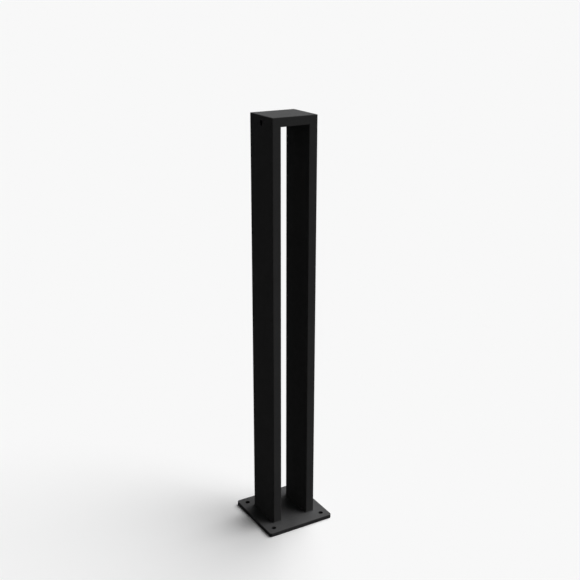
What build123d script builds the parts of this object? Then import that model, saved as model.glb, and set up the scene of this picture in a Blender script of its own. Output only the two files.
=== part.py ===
from build123d import *
import os
from math import sqrt

# Hoop bike rack: a tall, narrow rectangular hoop of hollow section, welded to a square anchor plate.
# The slot between the uprights is open from front to back, along Y.
# The origin is on the floor under the middle of the plate, with +Z up and the front of the rack towards -Y.

# Driving dimensions, in millimetres
rack_height = 800.0              # floor to the top face of the rail
slot_width = 57.0                # clear gap between the uprights
section_width = 17.0             # narrow side of the hollow section, facing the front
section_depth = 80.0             # broad side of the hollow section, front to back
section_wall = 2.0
outer_corner_radius = 1.0        # tight outer corners of the hollow section
inner_corner_radius = 0.5        # inside the hollow section's corners

plate_thickness = 8.0
plate_side_overhang = 24.5       # plate beyond the uprights, to the left and right
plate_end_overhang = 30.0        # plate beyond the uprights, to the front and back
plate_corner_radius = 5.0
plate_edge_round = 0.8           # eased top and bottom rims

anchor_hole_diameter = 9.0
anchor_hole_inset = 16.0         # hole centre to the plate's edges
anchor_hole_bevel = 0.5          # broken edge at both mouths of an anchor hole

vent_hole_diameter = 10.0
vent_hole_drop = 13.0            # top face to the middle of the vent hole
drain_hole_diameter = 8.0

corner_weld_gap = 3.0            # butt weld between the two halves of a mitre
corner_dressing_radius = 1.5     # outer edge of the corner weld, ground round
foot_weld_leg = 1.2              # fine fillet weld round the foot of an upright
foot_weld_toe = 0.2              # blunt upper toe of the fillet weld

# Sizes and places that follow from them
hoop_width = slot_width + 2 * section_width
upright_offset = (slot_width + section_width) / 2
plate_width = hoop_width + 2 * plate_side_overhang
plate_depth = section_depth + 2 * plate_end_overhang
anchor_spacing_x = plate_width - 2 * anchor_hole_inset
anchor_spacing_y = plate_depth - 2 * anchor_hole_inset
corner_weld_half_run = corner_weld_gap / sqrt(2)   # half the gap, measured along the section
foot_weld_reach = foot_weld_leg + foot_weld_toe

os.makedirs("parts", exist_ok=True)


def finish(piece, name):
    """Label a finished piece and write it under its own name."""
    piece.part.label = name
    export_step(piece.part, f"parts/{name}.step")


def mitre_plane(side):
    """The 45 degree plane through the outer top corner, facing away from the upright."""
    return Plane(origin=(side * hoop_width / 2, 0, rack_height), z_dir=(-side, 0, 1))


# Cross-section of the hoop
with BuildSketch() as hollow_section:
    RectangleRounded(section_width, section_depth, outer_corner_radius)
    RectangleRounded(
        section_width - 2 * section_wall,
        section_depth - 2 * section_wall,
        inner_corner_radius,
        mode=Mode.SUBTRACT,
    )

# Anchor plate, with a hole near each corner and a drain under each upright
with BuildPart() as base_plate:
    with BuildSketch():
        RectangleRounded(plate_width, plate_depth, plate_corner_radius)
    extrude(amount=plate_thickness)
    rims = base_plate.edges().group_by(Axis.Z)[0] + base_plate.edges().group_by(Axis.Z)[-1]
    fillet(rims, plate_edge_round)
    with Locations((0, 0, plate_thickness)):
        with GridLocations(anchor_spacing_x, anchor_spacing_y, 2, 2):
            Hole(anchor_hole_diameter / 2)
    flats = base_plate.faces().filter_by(Axis.Z)
    mouths = [edge for flat in flats for mouth in flat.inner_wires() for edge in mouth.edges()]
    chamfer(mouths, anchor_hole_bevel)
    with Locations((0, 0, plate_thickness)):
        with GridLocations(2 * upright_offset, 0, 2, 1):
            Hole(drain_hole_diameter / 2)
finish(base_plate, "base_plate")

# Rail across the top, cut at both mitres
rail_plane = Plane(origin=(0, 0, rack_height - section_width / 2), x_dir=(0, 0, 1), z_dir=(1, 0, 0))
with BuildPart() as top_rail:
    with BuildSketch(rail_plane):
        add(hollow_section.sketch)
    extrude(amount=hoop_width / 2, both=True)
    for side in (-1, 1):
        split(bisect_by=mitre_plane(side).offset(corner_weld_gap / 2), keep=Keep.TOP)
finish(top_rail, "top_rail")

for side, hand in ((-1, "left"), (1, "right")):
    mitre = mitre_plane(side)
    foot = Plane(origin=(side * upright_offset, 0, plate_thickness))
    vent = Plane(origin=(side * hoop_width / 2, 0, rack_height - vent_hole_drop), z_dir=(side, 0, 0))

    # Upright, from the plate to its mitre, with the vent through its outer wall only
    with BuildPart() as upright:
        with BuildSketch(foot):
            add(hollow_section.sketch)
        extrude(amount=rack_height - plate_thickness)
        split(bisect_by=mitre.offset(-corner_weld_gap / 2), keep=Keep.BOTTOM)
        with Locations(vent):
            Hole(vent_hole_diameter / 2, depth=section_width / 2)
    finish(upright, f"{hand}_upright")

    # Butt weld that fills the mitre, flush with both pieces and ground round along the outer edge
    across_mitre = Axis((0, 0, 0), mitre.z_dir)
    outer_corner = Plane(origin=mitre.origin, x_dir=(-side, 0, 0), z_dir=(0, -side, 0))
    with BuildPart() as corner_weld:
        extrude(
            upright.faces().sort_by(across_mitre)[-1],
            amount=corner_weld_half_run,
            dir=(0, 0, 1),
        )
        extrude(
            top_rail.faces().sort_by(across_mitre)[0],
            amount=corner_weld_half_run,
            dir=(side, 0, 0),
        )
        with BuildSketch(outer_corner):
            Rectangle(corner_dressing_radius, corner_dressing_radius, align=Align.MIN)
            with Locations((corner_dressing_radius, corner_dressing_radius)):
                Circle(corner_dressing_radius, mode=Mode.SUBTRACT)
        extrude(amount=section_depth / 2, both=True, mode=Mode.SUBTRACT)
    finish(corner_weld, f"{hand}_corner_weld")

    # Fillet weld round the foot, its face at 45 degrees
    with BuildPart() as foot_weld:
        with BuildSketch(foot):
            RectangleRounded(
                section_width + 2 * foot_weld_reach,
                section_depth + 2 * foot_weld_reach,
                outer_corner_radius + foot_weld_reach,
            )
        extrude(amount=foot_weld_leg, taper=45)
        with BuildSketch(foot):
            RectangleRounded(section_width, section_depth, outer_corner_radius)
        extrude(amount=foot_weld_leg, mode=Mode.SUBTRACT)
    finish(foot_weld, f"{hand}_foot_weld")
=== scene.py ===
from math import atan2, pi, radians, sin, sqrt

import bpy
from mathutils import Matrix, Vector


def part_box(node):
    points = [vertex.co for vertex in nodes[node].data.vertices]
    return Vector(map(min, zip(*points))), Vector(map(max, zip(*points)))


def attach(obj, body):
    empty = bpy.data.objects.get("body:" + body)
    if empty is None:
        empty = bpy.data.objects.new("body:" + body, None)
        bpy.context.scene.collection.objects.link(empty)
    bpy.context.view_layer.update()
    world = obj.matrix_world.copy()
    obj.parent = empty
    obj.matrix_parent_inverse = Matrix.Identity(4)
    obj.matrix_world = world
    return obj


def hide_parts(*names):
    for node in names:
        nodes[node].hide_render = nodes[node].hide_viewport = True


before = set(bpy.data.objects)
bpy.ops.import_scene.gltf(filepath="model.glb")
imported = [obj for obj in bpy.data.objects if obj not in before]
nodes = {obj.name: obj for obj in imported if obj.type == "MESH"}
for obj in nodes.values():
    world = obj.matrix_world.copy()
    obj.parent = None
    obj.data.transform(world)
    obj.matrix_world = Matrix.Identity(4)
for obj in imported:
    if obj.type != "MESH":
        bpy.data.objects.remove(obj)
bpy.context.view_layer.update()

# Camera, at the place and angle of the photograph
image_px = 580
focal_length_px = 929.1
camera_place = (-0.8265, -1.4179, 1.0303)
camera_heading = radians(-30.65)
camera_pitch = radians(18.76)
camera_roll = radians(0.13)

# Weld bead round the foot of an upright, in metres
section_corner_radius = 0.001
bead_bite = 0.0001             # how far the bead runs into the wall and the plate
bead_fullness = 0.0006         # the rounded face's centre lies this far behind the root
bead_circle_points = 96        # on the whole circle that the rounded face is part of
bead_corner_steps = 14
ripple_pitch = 0.0009
ripple_height = 0.00008
ripple_lead = 0.0005           # how far the middle of a ripple runs ahead of its toes
ripple_cuts = 7                # cuts across each ripple, for its rounded shape
bead_smooth_angle = radians(60)
same_place = 1e-6              # points nearer than this are one point

# Black powder coat
coat_black = (0.085, 0.085, 0.086, 1.0)
coat_specular = 0.012          # a dead matt coat, with hardly any gloss
cloud_detail = 3.0             # octaves of noise in the clouds of tone, the lumps and the grain
lump_detail = 1.0
grain_detail = 2.0

# Light and floor
key_toward = Vector((0.6, 0.0, 0.9))
key_strength = 3.6
key_angle = radians(64)        # how wide the lamp looks from the rack
ambient_grey = 0.045           # the room, as it lights the rack
floor_bounce_grey = 0.05       # the floor, as it lights the rack
floor_white = 0.94             # the floor and the backdrop, as they are seen
floor_size = 160.0             # in metres


def deselect_all():
    """Leave nothing selected, so that the next operator acts on its own piece alone."""
    bpy.ops.object.select_all(action="DESELECT")


def link(tree, start, end):
    """Join an output of one shader node to an input of another."""
    tree.links.new(start, end)


def add_camera():
    """Camera at the photograph's viewing angle, with its lens in the photograph's own pixels."""
    camera = bpy.data.cameras.new("camera")
    camera.sensor_fit = "HORIZONTAL"
    camera.lens = focal_length_px / image_px * camera.sensor_width
    camera.clip_end = floor_size
    holder = bpy.data.objects.new("camera", camera)
    bpy.context.scene.collection.objects.link(holder)
    turn = Matrix.Rotation(camera_heading, 4, "Z")
    tilt = Matrix.Rotation(pi / 2 - camera_pitch, 4, "X")
    roll = Matrix.Rotation(camera_roll, 4, "Z")
    holder.matrix_world = Matrix.Translation(camera_place) @ turn @ tilt @ roll
    bpy.context.scene.camera = holder


def add_key_light():
    """One broad, soft lamp, high on the right."""
    lamp = bpy.data.lights.new("key_light", "SUN")
    lamp.energy = key_strength
    lamp.angle = key_angle
    holder = bpy.data.objects.new("key_light", lamp)
    bpy.context.scene.collection.objects.link(holder)
    holder.rotation_euler = key_toward.to_track_quat("Z", "Y").to_euler()


def add_room():
    """A dim grey room, as pale as the floor where it is seen directly."""
    world = bpy.data.worlds.new("room")
    bpy.context.scene.world = world
    world.use_nodes = True
    tree = world.node_tree
    tree.nodes.clear()
    output = tree.nodes.new("ShaderNodeOutputWorld")
    room = tree.nodes.new("ShaderNodeBackground")
    backdrop = tree.nodes.new("ShaderNodeBackground")
    pick = tree.nodes.new("ShaderNodeMixShader")
    room.inputs["Color"].default_value = (ambient_grey, ambient_grey, ambient_grey, 1)
    backdrop.inputs["Color"].default_value = (floor_white, floor_white, floor_white, 1)
    link(tree, seen_directly(tree), pick.inputs["Fac"])
    link(tree, room.outputs["Background"], pick.inputs[1])
    link(tree, backdrop.outputs["Background"], pick.inputs[2])
    link(tree, pick.outputs["Shader"], output.inputs["Surface"])


def seen_directly(tree):
    """1 for rays from the camera and for those that a glossy or clear surface sends on."""
    path = tree.nodes.new("ShaderNodeLightPath")
    first = tree.nodes.new("ShaderNodeMath")
    first.operation = "MAXIMUM"
    both = tree.nodes.new("ShaderNodeMath")
    both.operation = "MAXIMUM"
    link(tree, path.outputs["Is Camera Ray"], first.inputs[0])
    link(tree, path.outputs["Is Glossy Ray"], first.inputs[1])
    link(tree, first.outputs["Value"], both.inputs[0])
    link(tree, path.outputs["Is Transmission Ray"], both.inputs[1])
    return both.outputs["Value"]


def add_floor():
    """Plain pale floor that reaches past the top of the picture."""
    deselect_all()
    bpy.ops.mesh.primitive_plane_add(size=floor_size)
    floor = bpy.context.object
    floor.name = "floor"
    material = bpy.data.materials.new("pale_floor")
    material.use_nodes = True
    tree = material.node_tree
    tree.nodes.clear()
    output = tree.nodes.new("ShaderNodeOutputMaterial")
    paint = tree.nodes.new("ShaderNodeBsdfDiffuse")
    tone = tree.nodes.new("ShaderNodeMapRange")
    tone.inputs["To Min"].default_value = floor_bounce_grey
    tone.inputs["To Max"].default_value = floor_white
    link(tree, seen_directly(tree), tone.inputs["Value"])
    link(tree, tone.outputs["Result"], paint.inputs["Color"])
    link(tree, paint.outputs["BSDF"], output.inputs["Surface"])
    floor.data.materials.append(material)


def noise(tree, place, size, detail):
    """Noise between 0 and 1, in lumps of about the given size."""
    per_metre = tree.nodes.new("ShaderNodeMath")
    per_metre.operation = "DIVIDE"
    per_metre.inputs[0].default_value = 1.0
    lumps = tree.nodes.new("ShaderNodeTexNoise")
    lumps.inputs["Detail"].default_value = detail
    link(tree, size, per_metre.inputs[1])
    link(tree, place, lumps.inputs["Vector"])
    link(tree, per_metre.outputs["Value"], lumps.inputs["Scale"])
    return lumps.outputs["Fac"]


def swing(tree, lumps, spread, middle):
    """A value that swings with the noise about its middle, by up to half the spread each way."""
    centred = tree.nodes.new("ShaderNodeMath")
    centred.operation = "SUBTRACT"
    centred.inputs[1].default_value = 0.5
    value = tree.nodes.new("ShaderNodeMath")
    value.operation = "MULTIPLY_ADD"
    link(tree, lumps, centred.inputs[0])
    link(tree, centred.outputs["Value"], value.inputs[0])
    link(tree, spread, value.inputs[1])
    link(tree, middle, value.inputs[2])
    return value.outputs["Value"]


def powder_coat_group():
    """Powder coat: clouds of tone, soft lumps of flowed powder, and a fine grain whose hollows are
    darkened with painted shade.
    """
    group = bpy.data.node_groups.new("powder_coat", "ShaderNodeTree")
    face = group.interface
    face.new_socket("Colour", in_out="INPUT", socket_type="NodeSocketColor")
    # The last input sets painted shade: how far the colour darkens in the grain's hollows.
    for name in ("Tone", "Tone Spread", "Cloud Size", "Roughness", "Roughness Spread",
                 "Lump Size", "Lump Height", "Grain Size", "Grain Height", "Grain Shade"):
        face.new_socket(name, in_out="INPUT", socket_type="NodeSocketFloat")
    face.new_socket("Colour", in_out="OUTPUT", socket_type="NodeSocketColor")
    face.new_socket("Roughness", in_out="OUTPUT", socket_type="NodeSocketFloat")
    face.new_socket("Normal", in_out="OUTPUT", socket_type="NodeSocketVector")

    given = group.nodes.new("NodeGroupInput").outputs
    made = group.nodes.new("NodeGroupOutput").inputs
    place = group.nodes.new("ShaderNodeTexCoord").outputs["Object"]
    clouds = noise(group, place, given["Cloud Size"], cloud_detail)
    lumps = noise(group, place, given["Lump Size"], lump_detail)
    grain = noise(group, place, given["Grain Size"], grain_detail)

    shade = group.nodes.new("ShaderNodeVectorMath")
    shade.operation = "SCALE"
    link(group, given["Colour"], shade.inputs[0])
    broad_tone = swing(group, clouds, given["Tone Spread"], given["Tone"])
    # Painted shade: the colour darkens in the grain's hollows, as if shade fell in them. The clouds are
    # the coat's own tone.
    link(group, swing(group, grain, given["Grain Shade"], broad_tone), shade.inputs["Scale"])
    link(group, shade.outputs["Vector"], made["Colour"])

    worn = swing(group, grain, given["Roughness Spread"], given["Roughness"])
    link(group, worn, made["Roughness"])

    grain_height = group.nodes.new("ShaderNodeMath")
    grain_height.operation = "MULTIPLY"
    height = group.nodes.new("ShaderNodeMath")
    height.operation = "MULTIPLY_ADD"
    relief = group.nodes.new("ShaderNodeBump")
    relief.inputs["Distance"].default_value = 1.0
    link(group, grain, grain_height.inputs[0])
    link(group, given["Grain Height"], grain_height.inputs[1])
    link(group, lumps, height.inputs[0])
    link(group, given["Lump Height"], height.inputs[1])
    link(group, grain_height.outputs["Value"], height.inputs[2])
    link(group, height.outputs["Value"], relief.inputs["Height"])
    link(group, relief.outputs["Normal"], made["Normal"])
    return group


def coat_material(name, powder_coat, **values):
    """Black powder coat with its own clouds, lumps and grain, their sizes and heights in metres."""
    material = bpy.data.materials.new(name)
    material.use_nodes = True
    tree = material.node_tree
    shader = tree.nodes["Principled BSDF"]
    shader.inputs["Specular IOR Level"].default_value = coat_specular
    coat = tree.nodes.new("ShaderNodeGroup")
    coat.node_tree = powder_coat
    coat.inputs["Colour"].default_value = coat_black
    coat.inputs["Tone"].default_value = 1.0
    for socket, value in values.items():
        coat.inputs[socket.replace("_", " ").title()].default_value = value
    link(tree, coat.outputs["Colour"], shader.inputs["Base Color"])
    link(tree, coat.outputs["Roughness"], shader.inputs["Roughness"])
    link(tree, coat.outputs["Normal"], shader.inputs["Normal"])
    return material


class Foot:
    """Where an upright stands on the plate: its outline there and the size of its fillet weld."""

    def __init__(self, upright, fillet):
        self.low, self.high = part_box(upright)
        fillet_low, fillet_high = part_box(fillet)
        self.plate_top = fillet_low.z
        self.leg = fillet_high.z - fillet_low.z
        rounding = Vector((section_corner_radius, section_corner_radius, 0))
        self.core_low = self.low + rounding
        self.core_high = self.high - rounding
        self.core = self.core_high - self.core_low

    def run_length(self):
        """Once round the foot, at half the bead's width."""
        return 2 * (self.core.x + self.core.y) + 2 * pi * self.bend_radius()

    def bend_radius(self):
        return section_corner_radius + self.leg / 2

    def nearest(self, place):
        """The nearest place on the rectangle through the centres of the rounded corners."""
        x = min(max(place.x, self.core_low.x), self.core_high.x)
        y = min(max(place.y, self.core_low.y), self.core_high.y)
        return Vector((x, y, place.z))

    def run_to(self, place):
        """How far round the foot a place on the bead lies: left side, back, right side, front."""
        near = self.nearest(place)
        outward = place - near
        turned = (pi - atan2(outward.y, outward.x)) % (2 * pi)
        straight = (
            near.y - self.core_low.y,
            self.core.y + near.x - self.core_low.x,
            self.core.y + self.core.x + self.core_high.y - near.y,
            2 * self.core.y + self.core.x + self.core_high.x - near.x,
            2 * self.core.y + 2 * self.core.x,
        )
        quarters = int(turned / (pi / 2) + same_place)
        return straight[quarters] + turned * self.bend_radius()


def bead_profile(name, foot):
    """The rim of the bead's section, at the front end of the foot's left side."""
    deselect_all()
    bpy.ops.mesh.primitive_circle_add(
        vertices=bead_circle_points,
        radius=sqrt((foot.leg + bead_fullness) ** 2 + bead_fullness ** 2),
        fill_type="NGON",
        location=(foot.low.x + bead_fullness, foot.core_low.y, foot.plate_top - bead_fullness),
        rotation=(pi / 2, 0, 0),
    )
    bead = bpy.context.object
    bead.name = name
    bpy.ops.object.transform_apply()
    in_wall = (foot.low.x + bead_bite, 0, 0)
    in_plate = (0, 0, foot.plate_top - bead_bite)
    bpy.ops.object.mode_set(mode="EDIT")
    for cut, inward in ((in_wall, (1, 0, 0)), (in_plate, (0, 0, -1))):
        bpy.ops.mesh.select_all(action="SELECT")
        bpy.ops.mesh.bisect(plane_co=cut, plane_no=inward, clear_outer=True)
    bpy.ops.mesh.select_all(action="SELECT")
    bpy.ops.mesh.delete(type="ONLY_FACE")
    bpy.ops.mesh.select_all(action="SELECT")
    return bead


def extrude_rim(run):
    """Carry the selected rim along a straight side, one ripple at a time."""
    steps = round(run.length / ripple_pitch)
    for _ in range(steps):
        bpy.ops.mesh.extrude_region_move(TRANSFORM_OT_translate={"value": run / steps})


def turn_rim(corner):
    """Carry the selected rim a quarter turn round a corner of the section."""
    bpy.ops.mesh.spin(steps=bead_corner_steps, angle=pi / 2, center=corner, axis=(0, 0, 1))


def edge_along(edge_ends, axis, low, high):
    """Whether an edge runs along the axis, with both its ends between low and high."""
    start, end = edge_ends
    skew = max(abs(end[other] - start[other]) for other in range(3) if other != axis)
    inside = all(low[axis] - same_place < point[axis] < high[axis] + same_place for point in edge_ends)
    return skew < same_place and inside


def cut_ripples(bead, foot):
    """Cut the straight sides across, finely enough for the ripples' rounded shape."""
    bpy.ops.mesh.select_mode(type="EDGE")
    bpy.ops.mesh.select_all(action="DESELECT")
    bpy.ops.object.mode_set(mode="OBJECT")
    points = bead.data.vertices
    for edge in bead.data.edges:
        edge_ends = [points[index].co for index in edge.vertices]
        edge.select = any(edge_along(edge_ends, axis, foot.core_low, foot.core_high) for axis in (0, 1))
    bpy.ops.object.mode_set(mode="EDIT")
    bpy.ops.mesh.subdivide(number_cuts=ripple_cuts)
    bpy.ops.object.mode_set(mode="OBJECT")


def raise_ripples(bead, foot):
    """Lift the bead's face in crescents that follow each other round the foot."""
    ripples = round(foot.run_length() / ripple_pitch)
    pitch = foot.run_length() / ripples
    lifted = bead.vertex_groups.new(name="ripples")
    for vertex in bead.data.vertices:
        outward = (vertex.co - foot.nearest(vertex.co)).length - section_corner_radius
        upward = vertex.co.z - foot.plate_top
        if outward > 0 or upward > 0:
            # From -1 at the toe on the plate to 1 at the toe on the wall
            across = atan2(max(upward, 0), max(outward, 0)) / (pi / 4) - 1
            lead = ripple_lead * (1 - across ** 2)
            height = abs(sin(pi * (foot.run_to(vertex.co) + lead) / pitch))
            lifted.add([vertex.index], height, "REPLACE")
    lift = bead.modifiers.new("ripples", "DISPLACE")
    lift.vertex_group = lifted.name
    lift.strength = ripple_height
    lift.mid_level = 0
    bpy.ops.object.modifier_apply(modifier=lift.name)
    bead.vertex_groups.clear()
    bpy.ops.object.shade_smooth_by_angle(angle=bead_smooth_angle)


def foot_bead(name, foot):
    """Rippled weld bead, swept from one rounded profile round all four sides of a foot."""
    bead = bead_profile(name, foot)
    side = Vector((0, foot.core.y, 0))
    end = Vector((foot.core.x, 0, 0))
    low, high = foot.core_low, foot.core_high
    for run, corner in (
        (side, (low.x, high.y, 0)),
        (end, (high.x, high.y, 0)),
        (-side, (high.x, low.y, 0)),
        (-end, (low.x, low.y, 0)),
    ):
        extrude_rim(run)
        turn_rim(corner)
    bpy.ops.mesh.select_all(action="SELECT")
    bpy.ops.mesh.remove_doubles(threshold=same_place)
    bpy.ops.mesh.normals_make_consistent(inside=False)
    cut_ripples(bead, foot)
    raise_ripples(bead, foot)
    return bead


def turned_copy(bead, name):
    """The other foot's bead: the same one, turned half round about the middle of the rack."""
    deselect_all()
    bead.select_set(True)
    bpy.context.view_layer.objects.active = bead
    bpy.ops.object.duplicate()
    copy = bpy.context.object
    copy.name = name
    copy.rotation_euler.z = pi
    bpy.ops.object.transform_apply()
    return copy


def add_foot_beads(finish):
    """A bead for each upright, in place of the plain fillets."""
    left = foot_bead("left_foot_bead", Foot("left_upright", "left_foot_weld"))
    right = turned_copy(left, "right_foot_bead")
    for bead, fillet in ((left, "left_foot_weld"), (right, "right_foot_weld")):
        bead.data.materials.clear()
        bead.data.materials.append(finish)
        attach(bead, "root")
        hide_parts(fillet)


bpy.context.scene.view_settings.view_transform = "Standard"
add_camera()
add_key_light()
add_room()
add_floor()

powder_coat = powder_coat_group()
# Each coat's last value sets the painted shade in the grain's hollows.
section_coat = coat_material(
    "section_coat", powder_coat,
    tone_spread=0.35, cloud_size=0.07, roughness=0.8, roughness_spread=0.3,
    lump_size=0.0016, lump_height=0.00012, grain_size=0.0006, grain_height=0.00006, grain_shade=0.8,
)
plate_coat = coat_material(
    "plate_coat", powder_coat,
    tone_spread=0.45, cloud_size=0.035, roughness=0.8, roughness_spread=0.3,
    lump_size=0.0016, lump_height=0.00014, grain_size=0.0006, grain_height=0.00007, grain_shade=0.9,
)
weld_coat = coat_material(
    "weld_coat", powder_coat,
    tone_spread=0.5, cloud_size=0.012, roughness=0.75, roughness_spread=0.3,
    lump_size=0.0009, lump_height=0.00003, grain_size=0.0005, grain_height=0.00003, grain_shade=0.6,
)
for name, node in nodes.items():
    node.data.materials[0] = plate_coat if name == "base_plate" else section_coat
add_foot_beads(weld_coat)
